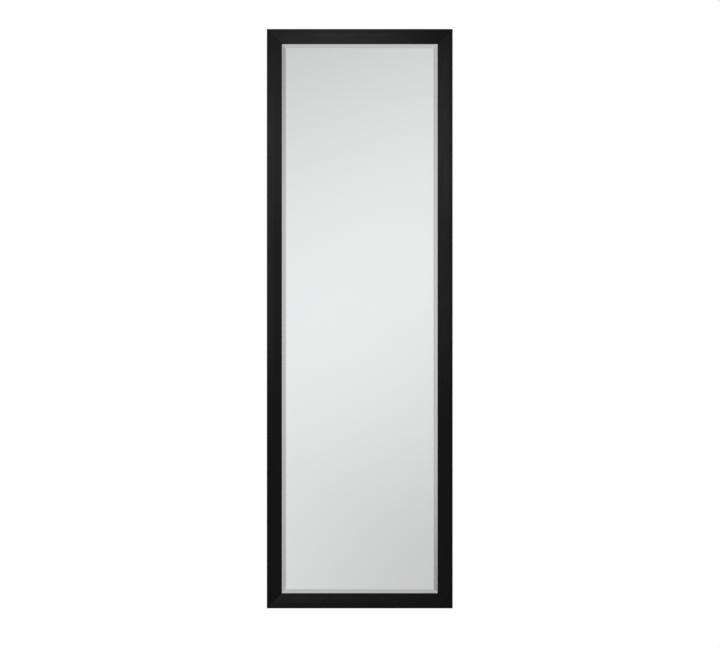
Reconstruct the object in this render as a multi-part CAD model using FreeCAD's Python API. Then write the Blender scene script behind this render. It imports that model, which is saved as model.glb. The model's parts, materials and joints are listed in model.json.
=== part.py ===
# Full length wall mirror: a bevelled glass in a mitred, sloped black frame, with its backing and hangers.
# Millimetres. +Z is up, the glass faces -Y, and +Y points at the wall.
# The origin is on the wall, midway between the two hanging rings, at the height of their pivots.

import FreeCAD
import Part
import math
import os

from FreeCAD import Vector

# Frame as a whole
frame_width = 431.8
frame_height = 1346.2
frame_depth = 24.0
hang_drop = 250.0  # from the frame's top edge down to the ring pivots

# Moulding section
face_width = 35.0
flat_band = 8.0  # flat outer band of the face
knee_radius = 40.0  # eases the flat band into the slope
slope_angle = 16.0  # degrees, the face falls towards the glass
outer_edge_radius = 1.5
lip_radius = 0.8
lip_height = 3.4  # sight wall, from the slope down to the rabbet ledge
back_chamfer = 0.8

# Glass and what lies behind it in the rabbet
glass_overlap = 6.35  # how far the lip covers the glass
glass_thickness = 5.0
glass_edge_thickness = 2.5  # what the bevel leaves at the rim
bevel_width = 16.0
glass_side_gap = 1.5  # between the glass rim and the rabbet wall
lip_gap = 0.2  # between the lip and the glass
coat_thickness = 0.1  # silvering and its protective paint
filler_thickness = 2.0
backing_thickness = 3.0
board_side_gap = 1.0  # between the boards and the rabbet wall
setting_block_length = 50.0
setting_block_inset = 80.0  # from the glass corner to the block

# Framing points that hold the backing in
point_thickness = 0.6
point_width = 9.0
point_tongue = 6.0  # driven into the rabbet wall
point_nose = 2.5  # corner cut at the driven end
point_reach = 10.0  # lies over the backing, from the rabbet wall
point_tail = 3.0  # turned-up end of the reach
point_tail_angle = 25.0
point_corner = 2.0  # corner cut at the tail
point_spacing = 190.0
point_end_margin = 75.0  # from the frame's corner to the first point
point_slot_gap = 0.05

# V nails across each mitre
nails_per_corner = 2
nail_wing = 5.0
nail_thickness = 0.5
nail_depth = 10.0
nail_sink = 0.4  # below the frame's back
nail_slot_gap = 0.05

# Strap hangers with D rings
strap_width = 14.0
strap_thickness = 1.0
strap_fold_radius = 2.0  # where the upper leaf comes off the eye, on its centre line
strap_tail = 7.0  # beyond the last screw
strap_tail_radius = 5.0
screw_spacing = 17.0
screws_per_strap = 2
ring_wire = 3.0
ring_wire_flats = 12  # flats that make up the wire's round section
ring_corner_radius = 4.0
ring_arm = 4.5  # straight between the corner and the half round
ring_side_gap = 0.5  # between the strap and the ring's corners
eye_gap = 0.08  # running gap of the wire in the eye
leaf_gap = 0.1  # between the strap's two leaves
ring_rest_gap = 0.3  # between the hanging ring and the strap
ring_screw_gap = 1.5  # between the hanging ring and the first screw head

# Pan head screws of the hangers
screw_head_diameter = 8.0
screw_head_height = 2.4
screw_head_edge = 0.8  # straight rim under the dome
screw_shank_diameter = 4.0
screw_length = 14.0
screw_tip = 3.0
screw_recess_length = 4.6
screw_recess_width = 0.9
screw_recess_depth = 1.3
screw_hole_gap = 0.2  # round the shank in the strap
pilot_gap = 0.05  # round the shank in the wood

# Wall bumpers
bumper_height = 5.5
bumper_base_diameter = 13.0
bumper_face_diameter = 10.0
bumper_edge = 0.8  # chamfer round the face
bumper_rise = 60.0  # from the frame's bottom edge to the bumper's centre

# Places worked out from the sizes above
slope = math.radians(slope_angle)
knee_end = flat_band + knee_radius * math.sin(slope)
knee_drop = knee_radius * (1 - math.cos(slope))
sight_height = frame_depth - knee_drop - (face_width - knee_end) * math.tan(slope)
ledge_height = sight_height - lip_height
rabbet_line = face_width - glass_overlap - glass_side_gap
bevel_drop = glass_thickness - glass_edge_thickness
glass_at_lip = glass_edge_thickness + bevel_drop * glass_overlap / bevel_width
glass_back = ledge_height - lip_gap - glass_at_lip
coat_back = glass_back - coat_thickness
filler_back = coat_back - filler_thickness
backing_back = filler_back - backing_thickness
glass_width = frame_width - 2 * (rabbet_line + glass_side_gap)
glass_height = frame_height - 2 * (rabbet_line + glass_side_gap)
board_width = frame_width - 2 * (rabbet_line + board_side_gap)
board_height = frame_height - 2 * (rabbet_line + board_side_gap)

wall_gap = bumper_height
centre_height = hang_drop - frame_height / 2
bottom_height = hang_drop - frame_height
hanger_line = frame_width / 2 - rabbet_line / 2
eye_inner_radius = ring_wire / 2 + eye_gap
pivot_height = strap_thickness + eye_inner_radius
leaf_top = 2 * strap_thickness + leaf_gap
ring_bar = strap_width / 2 + ring_side_gap
ring_half = ring_bar + ring_corner_radius
ring_reach = ring_corner_radius + ring_arm + ring_half
first_screw_drop = ring_reach + ring_wire / 2 + ring_screw_gap + screw_head_diameter / 2
strap_length = first_screw_drop + (screws_per_strap - 1) * screw_spacing + strap_tail
ring_rest_height = leaf_top + ring_rest_gap + ring_wire / 2
ring_rest_tilt = math.degrees(math.asin((ring_rest_height - pivot_height) / ring_reach))

# Each side: how it is turned about Y, its outer length, and how far its outer edge is from the centre
sides = {
    "top_rail": (0, frame_width, frame_height / 2),
    "right_stile": (90, frame_height, frame_width / 2),
    "bottom_rail": (180, frame_width, frame_height / 2),
    "left_stile": (270, frame_height, frame_width / 2),
}

# Each corner: how it is turned about Y, and which way it lies from the centre, across and up
corners = {
    "top_right": (0, 1, 1),
    "bottom_right": (90, 1, -1),
    "bottom_left": (180, -1, -1),
    "top_left": (270, -1, 1),
}
hands = {"left": -1, "right": 1}


def face_of(*edges):
    return Part.Face(Part.Wire(Part.__sortEdges__(list(edges))))


def line(start, end):
    return Part.LineSegment(start, end).toShape()


def arc(start, middle, end):
    return Part.Arc(start, middle, end).toShape()


def polygon_face(points):
    return Part.Face(Part.makePolygon(points + [points[0]]))


def plate(width, height, back, front):
    """A rectangular sheet centred in the frame, between two distances from the frame's back."""
    sheet = Part.makeBox(width, front - back, height)
    sheet.translate(Vector(-width / 2, -wall_gap - front, centre_height - height / 2))
    return sheet


def on_side(shape, name):
    """Moves a shape drawn on the top side, below z = 0 and in front of y = 0, to the named side."""
    turn, _, reach = sides[name]
    moved = shape.copy()
    moved.translate(Vector(0, 0, reach))
    moved.rotate(Vector(0, 0, 0), Vector(0, 1, 0), turn)
    moved.translate(Vector(0, -wall_gap, centre_height))
    return moved


def at_corner(shape, name):
    """Moves a shape drawn about the frame's top right corner to the named corner."""
    turn, across, up = corners[name]
    moved = shape.copy()
    moved.rotate(Vector(0, 0, 0), Vector(0, 1, 0), turn)
    moved.translate(Vector(across * frame_width / 2, -wall_gap, centre_height + up * frame_height / 2))
    return moved


def at_hanger(shape, hand):
    """Moves a shape drawn about the pivot line, with the frame's back at y = 0, to a stile."""
    moved = shape.copy()
    moved.translate(Vector(hand * hanger_line, -wall_gap, 0))
    return moved


def moulding_section(x):
    """The moulding's section at x, with its outer edge at z = 0 and its back at y = 0."""

    def at(inward, forward):
        return Vector(x, -forward, -inward)

    edge = outer_edge_radius
    edge_middle = edge * (1 - math.sqrt(0.5))
    knee_middle = slope / 2
    lip_turn = (math.pi / 2 - slope) / 2
    lip_tangent = lip_radius * math.tan(lip_turn)
    lip_start = at(
        face_width - lip_tangent * math.cos(slope), sight_height + lip_tangent * math.sin(slope)
    )
    lip_centre_height = sight_height - lip_tangent
    lip_middle = at(
        face_width - lip_radius * (1 - math.cos(lip_turn)),
        lip_centre_height + lip_radius * math.sin(lip_turn),
    )
    lip_end = at(face_width, lip_centre_height)
    band_end = at(flat_band, frame_depth)
    slope_start = at(knee_end, frame_depth - knee_drop)
    knee_point = at(
        flat_band + knee_radius * math.sin(knee_middle),
        frame_depth - knee_radius * (1 - math.cos(knee_middle)),
    )
    return face_of(
        line(at(0, back_chamfer), at(0, frame_depth - edge)),
        arc(at(0, frame_depth - edge), at(edge_middle, frame_depth - edge_middle), at(edge, frame_depth)),
        line(at(edge, frame_depth), band_end),
        arc(band_end, knee_point, slope_start),
        line(slope_start, lip_start),
        arc(lip_start, lip_middle, lip_end),
        line(lip_end, at(face_width, ledge_height)),
        line(at(face_width, ledge_height), at(rabbet_line, ledge_height)),
        line(at(rabbet_line, ledge_height), at(rabbet_line, 0)),
        line(at(rabbet_line, 0), at(back_chamfer, 0)),
        line(at(back_chamfer, 0), at(0, back_chamfer)),
    )


def mitred_length(length):
    """A length of moulding on the top side, with both ends cut at 45 degrees."""
    half = length / 2
    straight = moulding_section(-half).extrude(Vector(length, 0, 0))
    mitre = polygon_face(
        [
            Vector(-half, 0, 0),
            Vector(half, 0, 0),
            Vector(half - face_width, 0, -face_width),
            Vector(-half + face_width, 0, -face_width),
        ]
    )
    return straight.common(mitre.extrude(Vector(0, -frame_depth, 0)))


def point_places(length):
    """Where the framing points sit along a side, measured from its middle."""
    run = length - 2 * point_end_margin
    gaps = max(1, round(run / point_spacing))
    return [run * (step / gaps - 0.5) for step in range(gaps + 1)]


def framing_point(x):
    """One framing point on the top side: a flat tongue in the wood and a turned-up tail over the backing."""
    turn = math.radians(point_tail_angle)
    rise = Vector(0, math.sin(turn), -math.cos(turn)) * point_tail
    lift = Vector(0, math.cos(turn), math.sin(turn)) * point_thickness
    bend = -rabbet_line - point_reach + point_tail * math.cos(turn)
    bend_shift = point_thickness * math.tan(turn / 2)
    low = -backing_back
    high = low + point_thickness
    heel = -rabbet_line + point_tongue
    side = polygon_face(
        [
            Vector(-point_width / 2, low, heel),
            Vector(-point_width / 2, low, bend),
            Vector(-point_width / 2, low, bend) + rise,
            Vector(-point_width / 2, low, bend) + rise + lift,
            Vector(-point_width / 2, high, bend + bend_shift),
            Vector(-point_width / 2, high, heel),
        ]
    )
    strip = side.extrude(Vector(point_width, 0, 0))
    strip = strip.common(point_outline(-frame_depth, frame_depth))
    strip.translate(Vector(x, 0, 0))
    return strip


def point_outline(low, high):
    """The outline of a framing point seen from the back, as a prism with cut corners."""
    half = point_width / 2
    heel = -rabbet_line + point_tongue
    toe = -rabbet_line - point_reach
    outline = polygon_face(
        [
            Vector(-half + point_nose, low, heel),
            Vector(half - point_nose, low, heel),
            Vector(half, low, heel - point_nose),
            Vector(half, low, toe + point_corner),
            Vector(half - point_corner, low, toe),
            Vector(-half + point_corner, low, toe),
            Vector(-half, low, toe + point_corner),
            Vector(-half, low, heel - point_nose),
        ]
    )
    return outline.extrude(Vector(0, high - low, 0))


def point_slot(x):
    """The slot in the rabbet wall for one framing point."""
    depth = point_tongue + point_slot_gap
    width = point_width + 2 * point_slot_gap
    slot = Part.makeBox(width, point_thickness + 2 * point_slot_gap, depth)
    slot.translate(Vector(x - width / 2, -backing_back - point_slot_gap, -rabbet_line))
    return slot


def v_nail(inset, mouth, end, gap):
    """One V nail, or with a gap its slot, in the top right corner, between two depths below the frame's back.

    Its apex is on the mitre, at the given inset from both outer edges, and a wing runs into either side.
    """
    wing = nail_wing + gap
    half = nail_thickness / 2 + gap
    section = polygon_face(
        [
            Vector(half, 0, half),
            Vector(-wing, 0, half),
            Vector(-wing, 0, -half),
            Vector(-half, 0, -half),
            Vector(-half, 0, -wing),
            Vector(half, 0, -wing),
        ]
    )
    nail = section.extrude(Vector(0, mouth - end, 0))
    nail.translate(Vector(-inset, -mouth, -inset))
    return nail


def nail_insets():
    return [rabbet_line * (step + 1) / (nails_per_corner + 1) for step in range(nails_per_corner)]


def corner_nails(name):
    end = nail_sink + nail_depth
    return [at_corner(v_nail(inset, nail_sink, end, 0), name) for inset in nail_insets()]


def corner_slots(name):
    end = nail_sink + nail_depth + nail_slot_gap
    return [at_corner(v_nail(inset, 0, end, nail_slot_gap), name) for inset in nail_insets()]


def frame_side(name):
    """One side of the frame, with its mitres, point slots, nail slots and, on a stile, screw pilots."""
    _, length, _ = sides[name]
    cuts = [on_side(point_slot(x), name) for x in point_places(length)]
    for corner in corners:
        cuts += corner_slots(corner)
    for hand in hands.values():
        cuts += screw_pilots(hand)
    return on_side(mitred_length(length), name).cut(cuts)


def framing_points():
    points = []
    for name, (_, length, _) in sides.items():
        points += [on_side(framing_point(x), name) for x in point_places(length)]
    return points


def bevelled_bar(across, along):
    """A bar along Z with the glass's section: a flat rim and a bevel at either edge of its front."""
    half = across / 2
    back = -wall_gap - glass_back
    section = polygon_face(
        [
            Vector(-half, back, -along / 2),
            Vector(half, back, -along / 2),
            Vector(half, back - glass_edge_thickness, -along / 2),
            Vector(half - bevel_width, back - glass_thickness, -along / 2),
            Vector(-half + bevel_width, back - glass_thickness, -along / 2),
            Vector(-half, back - glass_edge_thickness, -along / 2),
        ]
    )
    return section.extrude(Vector(0, 0, along))


def mirror_glass():
    """The glass: where an upright and a level bevelled bar cross, all four edges are bevelled and mitred."""
    upright = bevelled_bar(glass_width, glass_height)
    level = bevelled_bar(glass_height, glass_width)
    level.rotate(Vector(0, 0, 0), Vector(0, 1, 0), 90)
    glass = upright.common(level)
    glass.translate(Vector(0, 0, centre_height))
    return glass


def setting_block(hand):
    """A rubber block that carries the glass's lower edge on the bottom rabbet."""
    block = Part.makeBox(setting_block_length, glass_edge_thickness, glass_side_gap)
    middle = hand * (glass_width / 2 - setting_block_inset - setting_block_length / 2)
    block.translate(
        Vector(
            middle - setting_block_length / 2,
            -wall_gap - glass_back - glass_edge_thickness,
            bottom_height + rabbet_line,
        )
    )
    return block


def screw_drops():
    return [first_screw_drop + step * screw_spacing for step in range(screws_per_strap)]


def strap_section():
    """The folded strap from the side: the lower leaf, the rolled eye and the upper leaf over the lower."""
    x = -strap_width / 2
    half = strap_thickness / 2
    eye = eye_inner_radius + half
    fold_height = leaf_top - half + strap_fold_radius
    fold_back = math.sqrt((eye + strap_fold_radius) ** 2 - (fold_height - pivot_height) ** 2)
    meet = math.atan2(fold_height - pivot_height, -fold_back)
    under = -math.pi / 2
    eye_middle = (under + meet) / 2
    fold_meet = meet - math.pi
    fold_middle = (fold_meet + under) / 2

    def on_eye(angle, out):
        radius = eye + out
        return Vector(x, pivot_height + radius * math.sin(angle), radius * math.cos(angle))

    def on_fold(angle, out):
        radius = strap_fold_radius - out
        return Vector(x, fold_height + radius * math.sin(angle), radius * math.cos(angle) - fold_back)

    def at_foot(height):
        return Vector(x, height, -strap_length)

    return face_of(
        line(at_foot(0), on_eye(under, half)),
        arc(on_eye(under, half), on_eye(eye_middle, half), on_eye(meet, half)),
        arc(on_fold(fold_meet, half), on_fold(fold_middle, half), on_fold(under, half)),
        line(on_fold(under, half), at_foot(leaf_top)),
        line(at_foot(leaf_top), at_foot(leaf_top - strap_thickness)),
        line(at_foot(leaf_top - strap_thickness), on_fold(under, -half)),
        arc(on_fold(under, -half), on_fold(fold_middle, -half), on_fold(fold_meet, -half)),
        arc(on_eye(meet, -half), on_eye(eye_middle, -half), on_eye(under, -half)),
        line(on_eye(under, -half), at_foot(strap_thickness)),
        line(at_foot(strap_thickness), at_foot(0)),
    )


def strap_outline():
    """The strap seen from the back, as a prism: straight over the eye, with rounded corners at the foot."""
    half = strap_width / 2
    top = pivot_height
    foot = -strap_length
    radius = strap_tail_radius
    middle = radius * (1 - math.sqrt(0.5))

    def at(x, z):
        return Vector(x, 0, z)

    outline = face_of(
        line(at(-half, top), at(half, top)),
        line(at(half, top), at(half, foot + radius)),
        arc(at(half, foot + radius), at(half - middle, foot + middle), at(half - radius, foot)),
        line(at(half - radius, foot), at(-half + radius, foot)),
        arc(at(-half + radius, foot), at(-half + middle, foot + middle), at(-half, foot + radius)),
        line(at(-half, foot + radius), at(-half, top)),
    )
    return outline.extrude(Vector(0, 2 * pivot_height, 0))


def hanger_strap(hand):
    strap = strap_section().extrude(Vector(strap_width, 0, 0)).common(strap_outline())
    radius = screw_shank_diameter / 2 + screw_hole_gap
    holes = [
        Part.makeCylinder(radius, leaf_top, Vector(0, 0, -drop), Vector(0, 1, 0)) for drop in screw_drops()
    ]
    return at_hanger(strap.cut(holes), hand)


def d_ring(hand):
    """The D ring: a bar through the eye, two arms and a half round, tilted to hang clear of the strap."""
    bar = ring_bar
    half = ring_half
    corner = ring_corner_radius
    middle = corner * (1 - math.sqrt(0.5))
    shoulder = half - ring_reach

    def at(x, z):
        return Vector(x, 0, z)

    route = Part.Wire(
        [
            line(at(-bar, 0), at(bar, 0)),
            arc(at(bar, 0), at(half - middle, -middle), at(half, -corner)),
            line(at(half, -corner), at(half, shoulder)),
            arc(at(half, shoulder), at(0, -ring_reach), at(-half, shoulder)),
            line(at(-half, shoulder), at(-half, -corner)),
            arc(at(-half, -corner), at(-half + middle, -middle), at(-bar, 0)),
        ]
    )
    turns = [2 * math.pi * (step + 0.5) / ring_wire_flats for step in range(ring_wire_flats + 1)]
    rim = [Vector(-bar, math.cos(turn) * ring_wire / 2, math.sin(turn) * ring_wire / 2) for turn in turns]
    ring = route.makePipeShell([Part.makePolygon(rim)], True, False)
    ring.rotate(Vector(0, 0, 0), Vector(1, 0, 0), ring_rest_tilt)
    ring.translate(Vector(0, pivot_height, 0))
    return at_hanger(ring, hand)


def hanger_screw(drop):
    """A pan head screw through the strap, turned about its own axis, with a cross recess."""
    head = screw_head_diameter / 2
    shank = screw_shank_diameter / 2
    dome = screw_head_height - screw_head_edge
    dome_radius = (head**2 + dome**2) / (2 * dome)
    dome_turn = math.asin(head / dome_radius) / 2
    crown = leaf_top + screw_head_height
    dome_middle = Vector(
        dome_radius * math.sin(dome_turn), crown - dome_radius * (1 - math.cos(dome_turn)), 0
    )
    neck = leaf_top - screw_length + screw_tip
    section = face_of(
        line(Vector(0, leaf_top - screw_length, 0), Vector(shank, neck, 0)),
        line(Vector(shank, neck, 0), Vector(shank, leaf_top, 0)),
        line(Vector(shank, leaf_top, 0), Vector(head, leaf_top, 0)),
        line(Vector(head, leaf_top, 0), Vector(head, leaf_top + screw_head_edge, 0)),
        arc(Vector(head, leaf_top + screw_head_edge, 0), dome_middle, Vector(0, crown, 0)),
        line(Vector(0, crown, 0), Vector(0, leaf_top - screw_length, 0)),
    )
    screw = section.revolve(Vector(0, 0, 0), Vector(0, 1, 0), 360)
    slot = Part.makeBox(screw_recess_length, screw_recess_depth, screw_recess_width)
    slot.translate(Vector(-screw_recess_length / 2, crown - screw_recess_depth, -screw_recess_width / 2))
    cross_slot = slot.rotated(Vector(0, 0, 0), Vector(0, 1, 0), 90)
    screw = screw.cut([slot, cross_slot])
    screw.translate(Vector(0, 0, -drop))
    return screw


def hanger_screws():
    return [at_hanger(hanger_screw(drop), hand) for hand in hands.values() for drop in screw_drops()]


def screw_pilots(hand):
    """The holes in a stile for its hanger's screws."""
    radius = screw_shank_diameter / 2 + pilot_gap
    depth = screw_length - leaf_top + pilot_gap
    return [
        at_hanger(Part.makeCylinder(radius, depth, Vector(0, 0, -drop), Vector(0, -1, 0)), hand)
        for drop in screw_drops()
    ]


def bumper(hand):
    """A rubber bumper on the back of a stile: a low tapered dome with a flat face that meets the wall."""
    base = bumper_base_diameter / 2
    rim = bumper_face_diameter / 2
    turned = Part.makeCone(base, rim, bumper_height, Vector(0, 0, 0), Vector(0, 1, 0))
    face_edges = [edge for edge in turned.Edges if edge.BoundBox.YMin > bumper_height / 2]
    turned = turned.makeChamfer(bumper_edge, face_edges)
    turned.translate(Vector(hand * hanger_line, -wall_gap, bottom_height + bumper_rise))
    return turned


nodes = {name: [frame_side(name)] for name in sides}
nodes["mirror_glass"] = [mirror_glass()]
nodes["silver_coat"] = [plate(glass_width, glass_height, coat_back, glass_back)]
nodes["filler_sheet"] = [plate(board_width, board_height, filler_back, coat_back)]
nodes["backing_board"] = [plate(board_width, board_height, backing_back, filler_back)]
nodes["framing_points"] = framing_points()
nodes["hanger_screws"] = hanger_screws()
for name in corners:
    nodes["corner_nails_" + name] = corner_nails(name)
for label, hand in hands.items():
    nodes["setting_block_" + label] = [setting_block(hand)]
    nodes["hanger_strap_" + label] = [hanger_strap(hand)]
    nodes["d_ring_" + label] = [d_ring(hand)]
    nodes["bumper_" + label] = [bumper(hand)]

os.makedirs("parts", exist_ok=True)
for name, solids in nodes.items():
    shape = solids[0] if len(solids) == 1 else Part.makeCompound(solids)
    shape.exportStep("parts/" + name + ".step")
    print(name, len(solids), "solids", round(shape.Volume), "mm3")
print("ring pivot at y", round(pivot_height - wall_gap, 3), "rest tilt", round(ring_rest_tilt, 3))
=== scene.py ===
import json
import math

import bmesh
import bpy
from mathutils import Matrix, Vector


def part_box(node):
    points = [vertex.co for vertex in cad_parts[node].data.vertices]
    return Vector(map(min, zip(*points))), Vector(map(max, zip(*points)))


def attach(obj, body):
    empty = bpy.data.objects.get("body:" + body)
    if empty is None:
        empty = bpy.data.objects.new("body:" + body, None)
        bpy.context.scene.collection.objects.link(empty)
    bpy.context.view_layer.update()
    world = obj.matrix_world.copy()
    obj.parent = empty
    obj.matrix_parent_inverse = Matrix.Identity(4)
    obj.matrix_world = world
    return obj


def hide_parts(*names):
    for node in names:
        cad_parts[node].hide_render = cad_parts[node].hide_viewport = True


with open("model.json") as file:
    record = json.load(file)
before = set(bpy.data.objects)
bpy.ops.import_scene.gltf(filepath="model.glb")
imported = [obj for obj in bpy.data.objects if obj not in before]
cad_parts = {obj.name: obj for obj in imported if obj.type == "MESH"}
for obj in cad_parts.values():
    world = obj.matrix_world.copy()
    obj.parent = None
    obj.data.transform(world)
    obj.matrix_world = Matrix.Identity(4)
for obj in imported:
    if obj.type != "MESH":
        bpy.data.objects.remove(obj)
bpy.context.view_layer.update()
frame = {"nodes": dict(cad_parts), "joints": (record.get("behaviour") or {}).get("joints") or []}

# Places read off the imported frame, in metres
topLow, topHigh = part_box("top_rail")
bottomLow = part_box("bottom_rail")[0]
glassLow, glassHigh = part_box("mirror_glass")
coatLow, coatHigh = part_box("silver_coat")
boardLow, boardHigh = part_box("backing_board")
pivots = {joint["child"]: Vector(joint["pos_m"]) for joint in frame["joints"]}

outerHalf = topHigh.x
frameHeight = topHigh.z - bottomLow.z
centreHeight = (topHigh.z + bottomLow.z) / 2
frameBack = topHigh.y
frameFront = topLow.y
frameDepth = frameBack - frameFront
faceWidth = topHigh.z - topLow.z

# Each side: its CAD node, its turn about Y, its length, how far its outer edge lies from the centre,
# and where its grain starts
frameSides = {
    "topRail": ("top_rail", 0, 2 * outerHalf, frameHeight / 2, 0.0),
    "rightStile": ("right_stile", 90, frameHeight, outerHalf, 3.1),
    "bottomRail": ("bottom_rail", 180, 2 * outerHalf, frameHeight / 2, 7.4),
    "leftStile": ("left_stile", 270, frameHeight, outerHalf, 12.7),
}
hands = {"Left": "left", "Right": "right"}
print("frame read:", len(frame["nodes"]), "nodes,", round(frameHeight, 4), "m tall")


# Node helpers

def isLink(value):
    return isinstance(value, bpy.types.NodeSocket)


def plug(tree, socket, value):
    if isLink(value):
        tree.links.new(value, socket)
    else:
        socket.default_value = value


def addNode(tree, kind, inputs=None, **settings):
    node = tree.nodes.new(kind)
    for key, value in settings.items():
        setattr(node, key, value)
    for key, value in (inputs or {}).items():
        plug(tree, node.inputs[key], value)
    return node


def addRamp(tree, factor, stops):
    ramp = addNode(tree, "ShaderNodeValToRGB", {"Fac": factor})
    elements = ramp.color_ramp.elements
    while len(elements) < len(stops):
        elements.new(0.5)
    for element, (place, colour) in zip(elements, stops):
        element.position = place
        element.color = (*colour, 1)
    return ramp.outputs["Color"]


def grey(tone):
    return (tone, tone, tone)


def mixColour(tree, factor, first, second):
    first, second = [tone if isLink(tone) else (*tone, 1) for tone in (first, second)]
    return addNode(tree, "ShaderNodeMix", {0: factor, 6: first, 7: second}, data_type="RGBA").outputs[2]


def spread(tree, value, low, high, start=0.0, end=1.0, curve="LINEAR"):
    reach = {"Value": value, "From Min": start, "From Max": end, "To Min": low, "To Max": high}
    return addNode(tree, "ShaderNodeMapRange", reach, interpolation_type=curve).outputs["Result"]


def combine(tree, operation, first, second):
    node = addNode(tree, "ShaderNodeMath", {0: first, 1: second}, operation=operation)
    return node.outputs["Value"]


def speckle(tree, place, scale, detail=3.0, stretch=(1, 1, 1)):
    spot = addNode(tree, "ShaderNodeMapping", {"Vector": place, "Scale": stretch})
    noise = addNode(
        tree, "ShaderNodeTexNoise", {"Vector": spot.outputs["Vector"], "Scale": scale, "Detail": detail}
    )
    return noise.outputs["Fac"]


def relief(tree, height, distance, strength=1.0, over=None):
    inputs = {"Height": height, "Distance": distance, "Strength": strength}
    if over is not None:
        inputs["Normal"] = over
    return addNode(tree, "ShaderNodeBump", inputs).outputs["Normal"]


def newFinish(name):
    finish = bpy.data.materials.new(name)
    finish.use_nodes = True
    tree = finish.node_tree
    place = addNode(tree, "ShaderNodeTexCoord").outputs["Object"]
    return finish, tree, tree.nodes["Principled BSDF"], place


def wire(tree, shader, **sockets):
    for key, value in sockets.items():
        plug(tree, shader.inputs[key.replace("_", " ")], value)


# Finishes

grainMap = "alongGrain"  # UV map that runs along each length of moulding
mostNoise = (0.3, 0.7)  # where most values of a noise lie

blackLacquer = {
    "deep": (0.0031, 0.0031, 0.0032),
    "light": (0.0046, 0.0046, 0.0047),
    "cloudScale": 9,
    "rubbedHighlight": (0.0080, 0.0079, 0.0077),  # lighter black on the outer front edge: rubbed wear and a painted highlight
    "rubbedHighlightReach": 0.0010,
    "rubbedHighlightScale": 42,
    "rubbedHighlightShare": (0.48, 0.72),  # noise that leaves the edge plain, and noise that gives it the full rubbed wear and painted highlight
    "roughness": (0.38, 0.44),
    "smearScale": 70,
    "smearStretch": (0.3, 1, 1),
    "brushing": 0.9,  # the sheen is drawn out across the grain
    "brushTurn": 0.25,
    "peelScale": 620,  # orange peel of the sprayed coat
    "peelHeight": 0.000010,
    "grainStretch": (9, 520, 520),  # wood grain that shows through
    "grainHeight": 0.000090,
}


def makeBlackLacquer():
    finish, tree, shader, place = newFinish("blackLacquer")
    cloud = speckle(tree, place, blackLacquer["cloudScale"])
    grain = speckle(tree, place, 1, 4, blackLacquer["grainStretch"])
    peel = speckle(tree, place, blackLacquer["peelScale"], 2)
    body = mixColour(tree, cloud, blackLacquer["deep"], blackLacquer["light"])
    parts = addNode(tree, "ShaderNodeSeparateXYZ", {"Vector": place}).outputs
    # painted highlight and rubbed wear: a lighter black in patches along the outer front edge
    reach = blackLacquer["rubbedHighlightReach"]
    sideEdge = spread(tree, parts["Z"], 0, 1, -reach, 0)
    frontEdge = spread(tree, parts["Y"], 1, 0, -frameDepth, -frameDepth + reach)
    corner = combine(tree, "MULTIPLY", sideEdge, frontEdge)
    rubAndHighlightNoise = speckle(tree, place, blackLacquer["rubbedHighlightScale"], 5)
    rubAndHighlight = combine(tree, "MULTIPLY", corner, spread(tree, rubAndHighlightNoise, 0, 1, *blackLacquer["rubbedHighlightShare"]))
    colour = mixColour(tree, rubAndHighlight, body, blackLacquer["rubbedHighlight"])
    smear = speckle(tree, place, blackLacquer["smearScale"], 4, blackLacquer["smearStretch"])
    roughness = spread(tree, smear, *blackLacquer["roughness"], *mostNoise)
    normal = relief(tree, grain, blackLacquer["grainHeight"], 0.5)
    normal = relief(tree, peel, blackLacquer["peelHeight"], 0.6, normal)
    along = addNode(tree, "ShaderNodeTangent", direction_type="UV_MAP", uv_map=grainMap).outputs["Tangent"]
    wire(tree, shader, Base_Color=colour, Roughness=roughness, Normal=normal, Tangent=along)
    wire(tree, shader, Anisotropic=blackLacquer["brushing"], Anisotropic_Rotation=blackLacquer["brushTurn"])
    return finish


rawPine = {
    "early": (0.62, 0.44, 0.265),
    "late": (0.40, 0.225, 0.105),
    "ringSpacing": 0.0029,
    "pithBehind": 0.062,  # how far the middle of the tree lay behind the frame's back
    "pithInward": 0.094,  # and in from the frame's outer edge
    "lengthwise": 0.035,  # how slowly the rings change along the length
    "wander": 6.5,  # how far the rings stray from round
    "lateShare": 3.2,  # higher draws the dark of each ring into a finer line
    "lateLeast": 0.25,  # how pale that line gets where it fades
    "fadeStretch": (5, 260, 260),
    "fibreStretch": (30, 1500, 1500),
    "fibreShare": 0.35,  # how much the fibres darken the wood
    "fibreHeight": 0.00008,
    "poreStretch": (90, 2600, 2600),
    "roughness": (0.55, 0.8),
    "overspray": (-0.0036, 0.0004),  # where the black mist starts and is full, from the outer side
    "sprayCover": 0.96,
    "sprayTone": (0.012, 0.012, 0.012),
    "driftScale": 24,
    "drift": 0.0012,  # how far the edge of the mist wanders
    "dropScale": 2100,
    "drops": 0.0026,  # and how far its droplets scatter
}


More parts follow.
